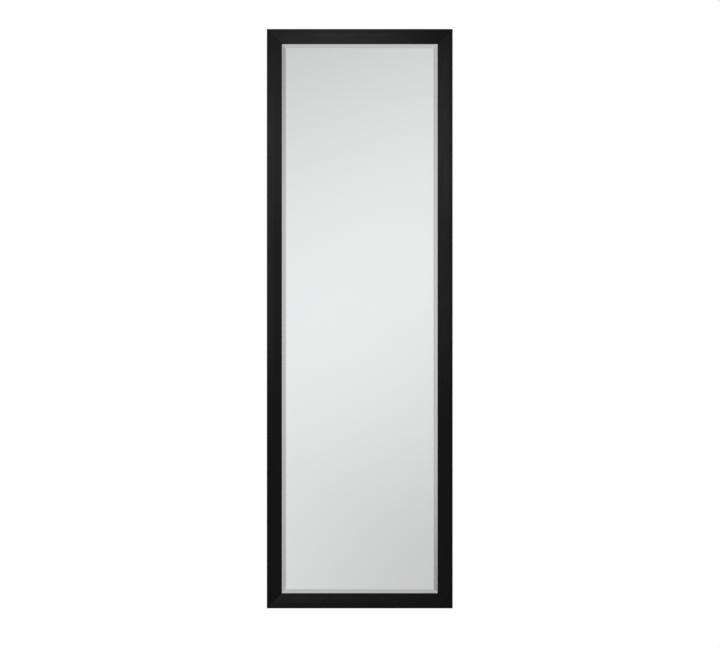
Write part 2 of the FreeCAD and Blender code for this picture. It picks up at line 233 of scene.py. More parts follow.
def makeRawPine():
    finish, tree, shader, place = newFinish("rawPine")
    trunk = {
        "Vector": place,
        "Location": (0, -rawPine["pithBehind"], rawPine["pithInward"]),
        "Scale": (rawPine["lengthwise"], 1, 1),
    }
    growth = {
        "Vector": addNode(tree, "ShaderNodeMapping", trunk).outputs["Vector"],
        "Scale": math.pi / 10 / rawPine["ringSpacing"],  # rings of scale 1 lie pi / 10 apart
        "Distortion": rawPine["wander"],
        "Detail": 3,
        "Detail Scale": 0.8,
    }
    rings = addNode(
        tree, "ShaderNodeTexWave", growth, wave_type="RINGS", rings_direction="X", wave_profile="SAW"
    ).outputs["Fac"]
    fibre = speckle(tree, place, 1, 5, rawPine["fibreStretch"])
    pore = speckle(tree, place, 1, 3, rawPine["poreStretch"])
    fade = speckle(tree, place, 1, 3, rawPine["fadeStretch"])
    late = combine(tree, "POWER", rings, rawPine["lateShare"])
    late = combine(tree, "MULTIPLY", late, spread(tree, fade, rawPine["lateLeast"], 1, *mostNoise))
    wood = mixColour(tree, late, rawPine["early"], rawPine["late"])
    wood = mixColour(tree, spread(tree, fibre, 0, rawPine["fibreShare"], 0.35, 0.75), wood, rawPine["late"])
    parts = addNode(tree, "ShaderNodeSeparateXYZ", {"Vector": place}).outputs
    reach = parts["Z"]
    for scale, stray in (("driftScale", "drift"), ("dropScale", "drops")):
        noise = speckle(tree, place, rawPine[scale], 2)
        reach = combine(tree, "ADD", reach, spread(tree, noise, -rawPine[stray], rawPine[stray]))
    spray = spread(tree, reach, 0, rawPine["sprayCover"], *rawPine["overspray"])
    colour = mixColour(tree, spray, wood, rawPine["sprayTone"])
    roughness = spread(tree, pore, *rawPine["roughness"], *mostNoise)
    normal = relief(tree, fibre, rawPine["fibreHeight"], 0.5)
    wire(tree, shader, Base_Color=colour, Roughness=roughness, Normal=normal)
    return finish


floatGlass = {
    "clear": (0.992, 0.994, 0.992),
    "green": (0.984, 0.991, 0.987),
    "toneScale": 2.2,
    "index": 1.52,
    "waveStretch": (3, 3, 14),
    "waveHeight": 0.0000015,  # faint draw lines of the float line
}


def makeFloatGlass():
    finish, tree, shader, place = newFinish("floatGlass")
    tint = speckle(tree, place, floatGlass["toneScale"])
    tone = mixColour(tree, tint, floatGlass["clear"], floatGlass["green"])
    wave = speckle(tree, place, 1, 1, floatGlass["waveStretch"])
    normal = relief(tree, wave, floatGlass["waveHeight"], 0.2)
    wire(tree, shader, Base_Color=tone, Roughness=0.0, Normal=normal)
    wire(tree, shader, IOR=floatGlass["index"], Transmission_Weight=1.0)
    return finish


groundEdge = {
    "pale": (0.60, 0.70, 0.65),
    "green": (0.40, 0.54, 0.48),
    "toneScale": 130,
    "roughness": (0.5, 0.75),
    "grindScale": 1800,
    "grindHeight": 0.00002,
}


def makeGroundEdge():
    finish, tree, shader, place = newFinish("groundEdge")
    cloud = spread(tree, speckle(tree, place, groundEdge["toneScale"], 5), 0, 1, *mostNoise)
    tone = mixColour(tree, cloud, groundEdge["green"], groundEdge["pale"])
    grind = speckle(tree, place, groundEdge["grindScale"])
    roughness = spread(tree, grind, *groundEdge["roughness"])
    normal = relief(tree, grind, groundEdge["grindHeight"], 0.5)
    wire(tree, shader, Base_Color=tone, Roughness=roughness, Normal=normal)
    return finish


silvering = {
    "bright": (0.928, 0.930, 0.933),
    "faint": (0.912, 0.914, 0.917),
    "toneScale": 5,
    "overlap": 0.00003,  # how far it reaches into the glass, so that no gap shows
}


def makeSilvering():
    finish, tree, shader, place = newFinish("silvering")
    cloud = speckle(tree, place, silvering["toneScale"], 4)
    tone = mixColour(tree, cloud, silvering["bright"], silvering["faint"])
    wire(tree, shader, Base_Color=tone, Metallic=1.0, Roughness=0.0)
    return finish


coatPaint = {
    "dark": (0.13, 0.15, 0.17),
    "light": (0.19, 0.21, 0.23),
    "toneScale": 55,
    "roughness": (0.45, 0.65),
    "roughScale": 240,
    "stippleScale": 420,
    "stippleHeight": 0.00003,
}


def makeCoatPaint():
    finish, tree, shader, place = newFinish("coatPaint")
    cloud = speckle(tree, place, coatPaint["toneScale"], 5)
    tone = mixColour(tree, cloud, coatPaint["dark"], coatPaint["light"])
    roughness = spread(tree, speckle(tree, place, coatPaint["roughScale"]), *coatPaint["roughness"])
    stipple = speckle(tree, place, coatPaint["stippleScale"])
    normal = relief(tree, stipple, coatPaint["stippleHeight"], 0.5)
    wire(tree, shader, Base_Color=tone, Roughness=roughness, Normal=normal)
    return finish


hardboard = {
    "dark": (0.150, 0.088, 0.046),
    "mid": (0.235, 0.146, 0.080),
    "pale": (0.34, 0.225, 0.130),
    "cloudScale": 6,
    "cloud": 0.06,  # how much the tone drifts over the board
    "fleck": (0.075, 0.042, 0.022),
    "fleckScale": 520,
    "fleckShare": (0.66, 0.74),
    "tufts": 210,
    "fibre": (280, 280, 2200),  # how often it changes along and across itself
    "fibreHeight": 0.00006,
    "layers": ((0, 0, 0), (0.37, 0, 0.11), (0.71, 0, 0.53)),  # where each layer of fibres starts
    "roughness": (0.48, 0.7),
}


def feltedFibre(tree, place, shift):  # short fibres that lie every way
    spot = addNode(tree, "ShaderNodeMapping", {"Vector": place, "Location": shift}).outputs["Vector"]
    tuft = {"Vector": spot, "Scale": hardboard["tufts"]}
    chance = addNode(tree, "ShaderNodeTexVoronoi", tuft).outputs["Color"]
    chance = addNode(tree, "ShaderNodeSeparateColor", {"Color": chance}).outputs["Red"]
    lie = {"Vector": spot, "Axis": (0, 1, 0), "Angle": spread(tree, chance, 0, math.pi)}
    turned = addNode(tree, "ShaderNodeVectorRotate", lie).outputs["Vector"]
    return speckle(tree, turned, 1, 4, hardboard["fibre"])


def makeHardboard():
    finish, tree, shader, place = newFinish("hardboard")
    fibre, *others = [feltedFibre(tree, place, shift) for shift in hardboard["layers"]]
    for other in others:
        fibre = combine(tree, "MAXIMUM", fibre, other)
    cloud = speckle(tree, place, hardboard["cloudScale"], 4)
    cloud = spread(tree, cloud, -hardboard["cloud"], hardboard["cloud"])
    stops = ((0.46, hardboard["dark"]), (0.60, hardboard["mid"]), (0.78, hardboard["pale"]))
    felt = addRamp(tree, combine(tree, "ADD", fibre, cloud), stops)
    fleck = spread(tree, speckle(tree, place, hardboard["fleckScale"], 2), 0, 0.8, *hardboard["fleckShare"])
    colour = mixColour(tree, fleck, felt, hardboard["fleck"])
    roughness = spread(tree, fibre, *hardboard["roughness"], 0.4, 0.7)
    normal = relief(tree, fibre, hardboard["fibreHeight"], 0.6)
    wire(tree, shader, Base_Color=colour, Roughness=roughness, Normal=normal)
    return finish


zincSteel = {
    "bright": (0.66, 0.67, 0.68),
    "dull": (0.50, 0.51, 0.53),
    "spangleScale": 420,
    "blue": (0.52, 0.55, 0.60),  # passivated plating
    "blueScale": 130,
    "roughness": (0.24, 0.42),
    "scratchStretch": (4200, 4200, 160),
    "scratchHeight": 0.000012,
}


def makeZincSteel():
    finish, tree, shader, place = newFinish("zincSteel")
    crystals = {"Vector": place, "Scale": zincSteel["spangleScale"]}
    spangle = addNode(tree, "ShaderNodeTexVoronoi", crystals).outputs["Color"]
    spangle = addNode(tree, "ShaderNodeSeparateColor", {"Color": spangle}).outputs["Red"]
    scratch = speckle(tree, place, 1, 4, zincSteel["scratchStretch"])
    tone = mixColour(tree, spread(tree, spangle, 0, 0.6), zincSteel["bright"], zincSteel["dull"])
    stain = spread(tree, speckle(tree, place, zincSteel["blueScale"]), 0, 0.7, 0.4, 0.7)
    tone = mixColour(tree, stain, tone, zincSteel["blue"])
    roughness = spread(tree, scratch, *zincSteel["roughness"], *mostNoise)
    normal = relief(tree, scratch, zincSteel["scratchHeight"], 0.5)
    wire(tree, shader, Base_Color=tone, Metallic=1.0, Roughness=roughness, Normal=normal)
    return finish


blackRubber = {
    "deep": (0.016, 0.016, 0.017),
    "dusty": (0.040, 0.040, 0.039),
    "dustScale": 190,
    "dustShare": (0.4, 0.75),
    "roughness": (0.6, 0.8),
    "pitScale": 2400,
    "pitHeight": 0.00002,
}


def makeBlackRubber():
    finish, tree, shader, place = newFinish("blackRubber")
    dust = spread(tree, speckle(tree, place, blackRubber["dustScale"], 5), 0, 1, *blackRubber["dustShare"])
    tone = mixColour(tree, dust, blackRubber["deep"], blackRubber["dusty"])
    roughness = spread(tree, dust, *blackRubber["roughness"])
    normal = relief(tree, speckle(tree, place, blackRubber["pitScale"]), blackRubber["pitHeight"], 0.6)
    wire(tree, shader, Base_Color=tone, Roughness=roughness, Normal=normal)
    return finish


fluteCard = {
    "kraft": (0.46, 0.31, 0.17),
    "shade": (0.33, 0.21, 0.11),
    "pitch": 0.0048,  # from one flute to the next
    "fluteHeight": 0.00006,  # how far the flutes show through the faces
    "pulpScale": 700,
    "roughness": (0.75, 0.9),
}


def makeFluteCard():
    finish, tree, shader, place = newFinish("fluteCard")
    ribs = {"Vector": place, "Scale": math.pi / 10 / fluteCard["pitch"]}  # bands lie as the rings do
    flute = addNode(tree, "ShaderNodeTexWave", ribs, bands_direction="X").outputs["Fac"]
    pulp = speckle(tree, place, fluteCard["pulpScale"], 5)
    tone = mixColour(tree, combine(tree, "MULTIPLY", flute, pulp), fluteCard["kraft"], fluteCard["shade"])
    roughness = spread(tree, pulp, *fluteCard["roughness"])
    normal = relief(tree, flute, fluteCard["fluteHeight"], 0.5)
    wire(tree, shader, Base_Color=tone, Roughness=roughness, Normal=normal)
    return finish


finishes = {
    "lacquer": makeBlackLacquer(),
    "pine": makeRawPine(),
    "glass": makeFloatGlass(),
    "ground": makeGroundEdge(),
    "silver": makeSilvering(),
    "paint": makeCoatPaint(),
    "board": makeHardboard(),
    "zinc": makeZincSteel(),
    "rubber": makeBlackRubber(),
    "card": makeFluteCard(),
}
print("finishes made:", len(finishes))


# Mesh helpers

def reshape(mesh, change):
    shell = bmesh.new()
    shell.from_mesh(mesh)
    change(shell)
    shell.to_mesh(mesh)
    shell.free()


def faceOutward(shell):
    bmesh.ops.recalc_face_normals(shell, faces=shell.faces)


def makePiece(name, verts, faces, finishNames, faceFinish=None):
    mesh = bpy.data.meshes.new(name)
    mesh.from_pydata([tuple(vert) for vert in verts], [], faces)
    for finishName in finishNames:
        mesh.materials.append(finishes[finishName])
    if faceFinish:
        mesh.polygons.foreach_set("material_index", faceFinish)
    reshape(mesh, faceOutward)
    piece = bpy.data.objects.new(name, mesh)
    bpy.context.scene.collection.objects.link(piece)
    return piece


def settle(piece):  # modifiers become plain mesh
    graph = bpy.context.evaluated_depsgraph_get()
    mesh = bpy.data.meshes.new_from_object(piece.evaluated_get(graph))
    piece.modifiers.clear()
    piece.data = mesh


def easeEdges(piece, width, segments=2, angle=35):
    ease = piece.modifiers.new("ease", "BEVEL")
    ease.width = width
    ease.segments = segments
    ease.limit_method = "ANGLE"
    ease.angle_limit = math.radians(angle)


def shadeRound(piece, angle=35):
    piece.data.shade_smooth()
    piece.data.set_sharp_from_angle(angle=math.radians(angle))
    weigh = piece.modifiers.new("weigh", "WEIGHTED_NORMAL")
    weigh.keep_sharp = True
    settle(piece)


weldGap = 0.000002  # points closer than this after a cut become one
flatAngle = math.radians(0.5)  # faces that turn less than this count as flat


def weld(shell):
    bmesh.ops.remove_doubles(shell, verts=shell.verts, dist=weldGap)
    bmesh.ops.dissolve_degenerate(shell, edges=shell.edges, dist=weldGap)


def mergeFlats(shell):  # faces that lie flat beside each other become one
    bmesh.ops.dissolve_limit(shell, angle_limit=flatAngle, verts=shell.verts, edges=shell.edges)


def carve(piece, cutterVerts, cutterFaces, finishName):  # the cut faces take the finish
    cutter = makePiece(piece.name + "Cutter", cutterVerts, cutterFaces, [finishName])
    cut = piece.modifiers.new("cut", "BOOLEAN")
    cut.operation = "DIFFERENCE"
    cut.solver = "EXACT"
    cut.object = cutter
    settle(piece)
    reshape(piece.data, weld)
    bpy.data.objects.remove(cutter)


def hang(piece, body, slotName, *nodes):
    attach(piece, body)
    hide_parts(*nodes)


def arcPoints(centre, radius, start, end, steps):
    turns = [start + (end - start) * step / steps for step in range(steps + 1)]
    return [(centre[0] + radius * math.cos(t), centre[1] + radius * math.sin(t)) for t in turns]


def blocks(corners):  # plain boxes for cutting, from pairs of low and high corners
    verts, faces = [], []
    for low, high in corners:
        base = len(verts)
        verts += [(x, y, z) for x in (low[0], high[0]) for y in (low[1], high[1]) for z in (low[2], high[2])]
        quads = ((0, 1, 3, 2), (4, 6, 7, 5), (0, 4, 5, 1), (2, 3, 7, 6), (0, 2, 6, 4), (1, 5, 7, 3))
        faces += [tuple(base + corner for corner in quad) for quad in quads]
    return verts, faces


def thickSheet(outer, inner):  # two grids of points, the sheet's two skins, closed round the edge
    rows, columns = len(outer), len(outer[0])
    verts = [point for grid in (outer, inner) for row in grid for point in row]

    def at(skin, row, column):
        return (skin * rows + row) * columns + column

    faces = []
    for skin in (0, 1):
        for row in range(rows - 1):
            for column in range(columns - 1):
                corners = ((row, column), (row + 1, column), (row + 1, column + 1), (row, column + 1))
                faces.append(tuple(at(skin, *corner) for corner in corners))
    for column in (0, columns - 1):
        for row in range(rows - 1):
            outerEdge = (at(0, row, column), at(0, row + 1, column))
            innerEdge = (at(1, row + 1, column), at(1, row, column))
            faces.append(outerEdge + innerEdge)
    for row in (0, rows - 1):
        for column in range(columns - 1):
            outerEdge = (at(0, row, column), at(0, row, column + 1))
            innerEdge = (at(1, row, column + 1), at(1, row, column))
            faces.append(outerEdge + innerEdge)
    return verts, faces


def lathe(profile, steps):  # radius and height pairs turned about Y
    verts, rings = [], []
    for radius, height in profile:
        count = steps if radius > 0 else 1
        rings.append([len(verts) + step for step in range(count)])
        for step in range(count):
            turn = 2 * math.pi * step / steps
            verts.append((radius * math.cos(turn), height, radius * math.sin(turn)))
    faces = []
    for low, high in zip(rings, rings[1:]):
        for step in range(steps):
            ends = (step, (step + 1) % steps)
            corners = [low[end % len(low)] for end in ends]
            corners += [high[end % len(high)] for end in reversed(ends)]
            faces.append(tuple(dict.fromkeys(corners)))
    return verts, faces


def gather(parts):  # several closed shells as one mesh
    verts, faces = [], []
    for partVerts, partFaces in parts:
        base = len(verts)
        verts += partVerts
        faces += [tuple(base + corner for corner in face) for face in partFaces]
    return verts, faces


def moved(part, matrix):
    verts, faces = part
    return [matrix @ Vector(vert) for vert in verts], faces


def sidePlace(sideName):  # from a length drawn on the top side to its own side
    _, turn, _, reach, _ = frameSides[sideName]
    raised = Matrix.Translation((0, frameBack, centreHeight))
    return raised @ Matrix.Rotation(math.radians(turn), 4, "Y") @ Matrix.Translation((0, 0, reach))


# Framing points, whose slots the rails need too

framingPoint = {
    "thickness": 0.0006,
    "width": 0.009,
    "tongue": 0.006,
    "nose": 0.0025,
    "reach": 0.010,
    "tail": 0.003,
    "tailDegrees": 25,
    "corner": 0.002,
    "spacing": 0.190,
    "endMargin": 0.075,
    "slotGap": 0.00005,
    "slotOver": 0.001,  # how far the slot's cutter starts outside the wood
    "sheared": 0.00008,  # softness of the sheared edges
}
glassSideGap = 0.0015  # play round the glass in the rabbet
rabbetLine = outerHalf - glassHigh.x - glassSideGap
boardBack = boardHigh.y - frameBack  # the backing's rear face, from the frame's back


def pointPlaces(length):
    run = length - 2 * framingPoint["endMargin"]
    gaps = max(1, round(run / framingPoint["spacing"]))
    return [run * (step / gaps - 0.5) for step in range(gaps + 1)]


def bentPoint():
    half = framingPoint["width"] / 2
    turn = math.radians(framingPoint["tailDegrees"])
    heel = -rabbetLine + framingPoint["tongue"]
    toe = -rabbetLine - framingPoint["reach"]
    bend = toe + framingPoint["tail"] * math.cos(turn)
    cornerRun = framingPoint["corner"] / math.cos(turn)
    stations = [  # where it starts, how far up the tail, half its width there, and how far its skins lean
        (heel, 0, half - framingPoint["nose"], 0),
        (heel - framingPoint["nose"], 0, half, 0),
        (bend, 0, half, turn / 2),
        (bend, framingPoint["tail"] - cornerRun, half, turn),
        (bend, framingPoint["tail"], half - framingPoint["corner"], turn),
    ]
    under, over = [], []
    for start, along, wide, lean in stations:
        low = Vector((0, boardBack + along * math.sin(turn), start - along * math.cos(turn)))
        thick = framingPoint["thickness"] / math.cos(min(lean, turn - lean))  # longer across the bend
        high = low + Vector((0, math.cos(lean), math.sin(lean))) * thick
        under.append([low + Vector((side * wide, 0, 0)) for side in (-1, 0, 1)])
        over.append([high + Vector((side * wide, 0, 0)) for side in (-1, 0, 1)])
    return thickSheet(over, under)


def makeFramingPoints():
    shells = []
    for sideName, (_, _, length, _, _) in frameSides.items():
        for along in pointPlaces(length):
            shells.append(moved(bentPoint(), sidePlace(sideName) @ Matrix.Translation((along, 0, 0))))
    piece = makePiece("framingPoints", *gather(shells), ["zinc"])
    easeEdges(piece, framingPoint["sheared"], 1, 40)
    shadeRound(piece)
    hang(piece, "mirror", "zinc_steel", "framing_points")
    return len(shells)


print("framing points bent:", makeFramingPoints())


# Hangers: folded straps, D rings and their screws, whose holes the stiles need too

strapShape = {
    "width": 0.014,
    "thickness": 0.001,
    "foldRadius": 0.002,
    "leafGap": 0.0001,
    "eyeRadius": 0.00158,  # inside the rolled eye
    "footRadius": 0.005,
    "sheared": 0.00014,
    "eyeSteps": 22,
    "foldSteps": 9,
    "footSteps": 6,
}
leafTop = 2 * strapShape["thickness"] + strapShape["leafGap"]  # one leaf over the other
eyeHeight = strapShape["thickness"] + strapShape["eyeRadius"]  # the ring's bar, from the frame's back


def strapSkins():  # the strip's two skins round the eye and the fold, as height and z
    half = strapShape["thickness"] / 2
    eye = strapShape["eyeRadius"] + half
    fold = strapShape["foldRadius"]
    foldHeight = leafTop - half + fold
    foldBack = math.sqrt((eye + fold) ** 2 - (foldHeight - eyeHeight) ** 2)
    meet = math.atan2(foldHeight - eyeHeight, -foldBack)
    down = -math.pi / 2
    skins = []
    for out in (half, -half):
        over = arcPoints((0, eyeHeight), eye + out, down, meet, strapShape["eyeSteps"])
        back = arcPoints((-foldBack, foldHeight), fold - out, meet - math.pi, down, strapShape["foldSteps"])
        skins.append([(height, z) for z, height in over + back[1:]])
    return skins


def makeStrap(hand, side):
    low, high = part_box("hanger_strap_" + side)
    foot = low.z
    half, radius = strapShape["width"] / 2, strapShape["footRadius"]
    middle = (low.x + high.x) / 2
    steps = strapShape["footSteps"]
    turns = [math.pi / 2 * step / steps for step in range(steps + 1)]
    across = [half - radius + radius * math.sin(turn) for turn in turns]
    columns = [-x for x in reversed(across)] + across
    skins = []
    for skin in strapSkins():
        rows = [(skin[0][0], None)] + skin + [(skin[-1][0], None)]
        grid = []
        for height, z in rows:
            line = []
            for x in columns:
                over = max(0, abs(x) - (half - radius))
                rounded = foot + radius - math.sqrt(max(0, radius**2 - over**2))
                line.append((middle + x, frameBack + height, rounded if z is None else z))
            grid.append(line)
        skins.append(grid)
    piece = makePiece("hangerStrap" + hand, *thickSheet(*skins), ["zinc"])
    reshape(piece.data, mergeFlats)
    easeEdges(piece, strapShape["sheared"], 2, 50)
    holes = [moved(screwHole(screwShape["strapGap"]), place) for place in screwPlaces(side)]
    carve(piece, *gather(holes), "zinc")
    shadeRound(piece, 40)
    hang(piece, "mirror", "zinc_steel", "hanger_strap_" + side)


ringShape = {
    "wire": 0.003,
    "halfWidth": 0.0115,
    "corner": 0.004,
    "reach": 0.020,
    "restGap": 0.0003,  # to the strap that it hangs against
    "sides": 20,
    "cornerSteps": 8,
    "bowSteps": 30,
}


def ringRoute():  # centre line of the bent wire, across and down from the pivot
    half, corner, reach = ringShape["halfWidth"], ringShape["corner"], ringShape["reach"]
    bar = half - corner
    route = [(-bar / 2, 0), (0, 0), (bar / 2, 0)]
    route += arcPoints((bar, -corner), corner, math.pi / 2, 0, ringShape["cornerSteps"])
    route += arcPoints((0, half - reach), half, 0, -math.pi, ringShape["bowSteps"])
    route += arcPoints((-bar, -corner), corner, math.pi, math.pi / 2, ringShape["cornerSteps"])
    return [Vector((x, 0, z)) for x, z in route]


def makeRing(hand, side):
    route = ringRoute()
    sides, radius = ringShape["sides"], ringShape["wire"] / 2
    count = len(route)
    verts = []
    for step, here in enumerate(route):
        ahead = (route[(step + 1) % count] - here).normalized()
        behind = (here - route[step - 1]).normalized()
        along = (ahead + behind).normalized()
        outward = Vector((-along.z, 0, along.x))
        for k in range(sides):
            turn = 2 * math.pi * k / sides
            verts.append(here + outward * radius * math.cos(turn) + Vector((0, radius * math.sin(turn), 0)))
    faces = []
    for step in range(count):
        after = (step + 1) % count
        for k in range(sides):
            other = (k + 1) % sides
            faces.append((step * sides + k, step * sides + other, after * sides + other, after * sides + k))
    place = Matrix.Translation(pivots["ring_" + side])
    away = leafTop + ringShape["restGap"] + radius - eyeHeight
    place = place @ Matrix.Rotation(math.asin(away / ringShape["reach"]), 4, "X")
    piece = makePiece("dRing" + hand, *moved((verts, faces), place), ["zinc"])
    piece.data.shade_smooth()
    hang(piece, "ring_" + side, "zinc_steel", "d_ring_" + side)


screwShape = {
    "head": 0.004,
    "headHeight": 0.0024,
    "headEdge": 0.0008,
    "shank": 0.002,
    "length": 0.014,
    "tip": 0.003,
    "drops": (0.027, 0.044),
    "strapGap": 0.0002,  # round the shank in the strap
    "pilotGap": 0.00005,  # round the shank in the wood
    "holeOver": 0.001,  # how far a hole's cutter starts above the strap
    "recess": (0.0023, 0.00045, 0.0013),  # half length, half width and depth of the cross
    "recessTaper": 0.62,
    "recessOver": 0.0002,  # how far the cross's cutter starts above the head
    "turns": (17, 62, -24, 38),  # degrees, as they happened to be driven
    "domeSteps": 8,
    "sides": 40,
}


def screwPlaces(side):  # where each screw's head meets the strap
    across, height = pivots["ring_" + side].x, frameBack + leafTop
    return [Matrix.Translation((across, height, -drop)) for drop in screwShape["drops"]]


def screwHole(gap):  # a rod round a screw's shank, for cutting its hole
    radius, over = screwShape["shank"] + gap, screwShape["holeOver"]
    end = -screwShape["length"] - gap
    return lathe([(0, end), (radius, end), (radius, over), (0, over)], screwShape["sides"])


def panHead():
    head, edge, shank = screwShape["head"], screwShape["headEdge"], screwShape["shank"]
    dome = screwShape["headHeight"] - edge
    domeRadius = (head**2 + dome**2) / (2 * dome)
    domeTurn = math.asin(head / domeRadius)
    end, steps = -screwShape["length"], screwShape["domeSteps"]
    profile = [(0, end), (shank, end + screwShape["tip"]), (shank, 0), (head, 0)]
    for step in range(steps + 1):
        turn = domeTurn * (1 - step / steps)
        radius = domeRadius * math.sin(turn) if step < steps else 0
        profile.append((radius, edge + dome - domeRadius * (1 - math.cos(turn))))
    return lathe(profile, screwShape["sides"])


def crossCut():  # a tapered cross that sinks into the head
    long, wide, depth = screwShape["recess"]
    top, taper = screwShape["headHeight"] + screwShape["recessOver"], screwShape["recessTaper"]
    outline = [
        (long, -wide), (long, wide), (wide, wide), (wide, long), (-wide, long), (-wide, wide),
        (-long, wide), (-long, -wide), (-wide, -wide), (-wide, -long), (wide, -long), (wide, -wide),
    ]
    floor = screwShape["headHeight"] - depth
    verts = [(x, top, z) for x, z in outline] + [(x * taper, floor, z * taper) for x, z in outline]
    count = len(outline)
    faces = [tuple(range(count)), tuple(range(count, 2 * count))]
    faces += [(k, (k + 1) % count, count + (k + 1) % count, count + k) for k in range(count)]
    return verts, faces


def makeScrews():
    turns = iter(screwShape["turns"])
    heads, cuts = [], []
    for side in hands.values():
        for place in screwPlaces(side):
            driven = place @ Matrix.Rotation(math.radians(next(turns)), 4, "Y")
            heads.append(moved(panHead(), driven))
            cuts.append(moved(crossCut(), driven))
    piece = makePiece("hangerScrews", *gather(heads), ["zinc"])
    carve(piece, *gather(cuts), "zinc")
    shadeRound(piece)
    hang(piece, "mirror", "zinc_steel", "hanger_screws")


for hand, side in hands.items():
    makeStrap(hand, side)
    makeRing(hand, side)
makeScrews()
print("hangers folded and screwed on")


# Frame: four mitred lengths of one moulding

moulding = {
    "flatBand": 0.008,
    "kneeRadius": 0.040,
    "slopeDegrees": 16,
    "outerEdge": 0.0015,
    "lipRadius": 0.0008,
    "lipHeight": 0.0034,
    "backChamfer": 0.0008,
    "mitreEase": 0.00014,  # the fine V where two lengths meet
    "kneeSteps": 12,
    "edgeSteps": 7,
    "lipSteps": 6,
}
cornerNail = {
    "count": 2,
    "wing": 0.005,
    "thickness": 0.0005,
    "depth": 0.0104,
    "slotGap": 0.00005,
    "slotOver": 0.001,  # how far the slot's cutter reaches past the mitre and the back
}
painted, unpainted = 0, 1  # which of a rail's two finishes a face takes


def mouldingSection():  # inward from the outer edge, and forward from the back
    slope = math.radians(moulding["slopeDegrees"])
    edge, knee, lip = moulding["outerEdge"], moulding["kneeRadius"], moulding["lipRadius"]
    band, chamfer = moulding["flatBand"], moulding["backChamfer"]
    kneeEnd = band + knee * math.sin(slope)
    kneeDrop = knee * (1 - math.cos(slope))
    sightHeight = frameDepth - kneeDrop - (faceWidth - kneeEnd) * math.tan(slope)
    lipDrop = lip * math.tan((math.pi / 2 - slope) / 2)
    ledge = sightHeight - moulding["lipHeight"]
    lacquered = [(0, chamfer)]
    lacquered += arcPoints((edge, frameDepth - edge), edge, math.pi, math.pi / 2, moulding["edgeSteps"])
    lacquered += arcPoints(
        (band, frameDepth - knee), knee, math.pi / 2, math.pi / 2 - slope, moulding["kneeSteps"]
    )
    lacquered += arcPoints(
        (faceWidth - lip, sightHeight - lipDrop), lip, math.pi / 2 - slope, 0, moulding["lipSteps"]
    )
    bare = [(faceWidth, ledge), (rabbetLine, ledge), (rabbetLine, 0)]
    section = lacquered + bare + [(chamfer, 0)]
    edgeFinish = [painted] * (len(lacquered) + 1)  # the lip is painted underneath too
    edgeFinish += [unpainted] * (len(bare) - 1) + [painted]
    return section, edgeFinish


def shrunk(section, by):  # the section drawn in evenly, for the eased mitre
    inner = []
    for before, here, after in zip(section[-1:] + section, section, section[1:] + section[:1]):
        first = (Vector(here) - Vector(before)).normalized()
        second = (Vector(after) - Vector(here)).normalized()
        inward = Vector((first.y + second.y, -first.x - second.x))
        inner.append(Vector(here) + inward * by / (1 + first.dot(second)))
    return inner


def railSlots(length):  # slots for the V nails and the framing points
    half = length / 2
    cuts = []
    gap = cornerNail["slotGap"]
    thick = cornerNail["thickness"] / 2 + gap
    for step in range(cornerNail["count"]):
        inset = rabbetLine * (step + 1) / (cornerNail["count"] + 1)
        inner = half - inset - cornerNail["wing"] - gap
        outer = half - inset + thick + cornerNail["slotOver"]
        low, high = -cornerNail["depth"] - gap, cornerNail["slotOver"]
        cuts.append(((inner, low, -inset - thick), (outer, high, -inset + thick)))
        cuts.append(((-outer, low, -inset - thick), (-inner, high, -inset + thick)))
    gap = framingPoint["slotGap"]
    wide = framingPoint["width"] / 2 + gap
    over = boardBack + framingPoint["thickness"] + gap
    deep = -rabbetLine + framingPoint["tongue"] + gap
    for along in pointPlaces(length):
        low = (along - wide, boardBack - gap, -rabbetLine - framingPoint["slotOver"])
        cuts.append((low, (along + wide, over, deep)))
    return cuts


def screwPilots(pieceName):  # holes in a stile for its hanger's screws, drawn on the top side
    toTop = sidePlace(pieceName).inverted()
    pilot = screwHole(screwShape["pilotGap"])
    sides = [side for side in hands.values() if pieceName == side + "Stile"]
    return [moved(pilot, toTop @ place) for side in sides for place in screwPlaces(side)]


def runRound(section, inward, forward):  # how far round the section a point lies
    here = Vector((inward, forward))
    best, run = (1.0, 0.0), 0.0
    for start, end in zip(section, section[1:] + section[:1]):
        edge = Vector(end) - Vector(start)
        share = min(1, max(0, (here - Vector(start)).dot(edge) / edge.length_squared))
        miss = (here - Vector(start) - edge * share).length
        best = min(best, (miss, run + share * edge.length))
        run += edge.length
    return best[1]


def unrollRail(mesh, section):
    grain = mesh.uv_layers.new(name=grainMap)
    places = [(vert.co.x, runRound(section, -vert.co.z, -vert.co.y)) for vert in mesh.vertices]
    for loop in mesh.loops:
        grain.data[loop.index].uv = places[loop.vertex_index]


def makeRail(pieceName):
    node, _, length, _, grainStart = frameSides[pieceName]
    section, edgeFinish = mouldingSection()
    ease = moulding["mitreEase"]
    drawnIn = shrunk(section, ease)
    half = length / 2
    rings = [(-1, drawnIn, 0), (-1, section, ease), (1, section, ease), (1, drawnIn, 0)]
    count = len(section)
    verts = []
    for end, outline, back in rings:
        verts += [(end * (half - inward - back), -forward, -inward) for inward, forward in outline]
    faces, faceFinish = [], []
    for ring in range(len(rings) - 1):
        near, far = ring * count, (ring + 1) * count
        for step in range(count):
            after = (step + 1) % count
            faces.append((near + step, near + after, far + after, far + step))
            faceFinish.append(edgeFinish[step])
    faces.append(tuple(range(count)))
    faces.append(tuple((len(rings) - 1) * count + step for step in range(count)))
    faceFinish += [unpainted, unpainted]
    piece = makePiece(pieceName, verts, faces, ["lacquer", "pine"], faceFinish)
    carve(piece, *gather([blocks(railSlots(length))] + screwPilots(pieceName)), "pine")
    unrollRail(piece.data, section)
    piece.data.transform(Matrix.Translation((grainStart, 0, 0)))
    piece.matrix_world = sidePlace(pieceName) @ Matrix.Translation((-grainStart, 0, 0))
    shadeRound(piece, 30)
    hang(piece, "mirror", "frame_black", node)


for sideName in frameSides:
    makeRail(sideName)
print("frame mitred:", ", ".join(frameSides))


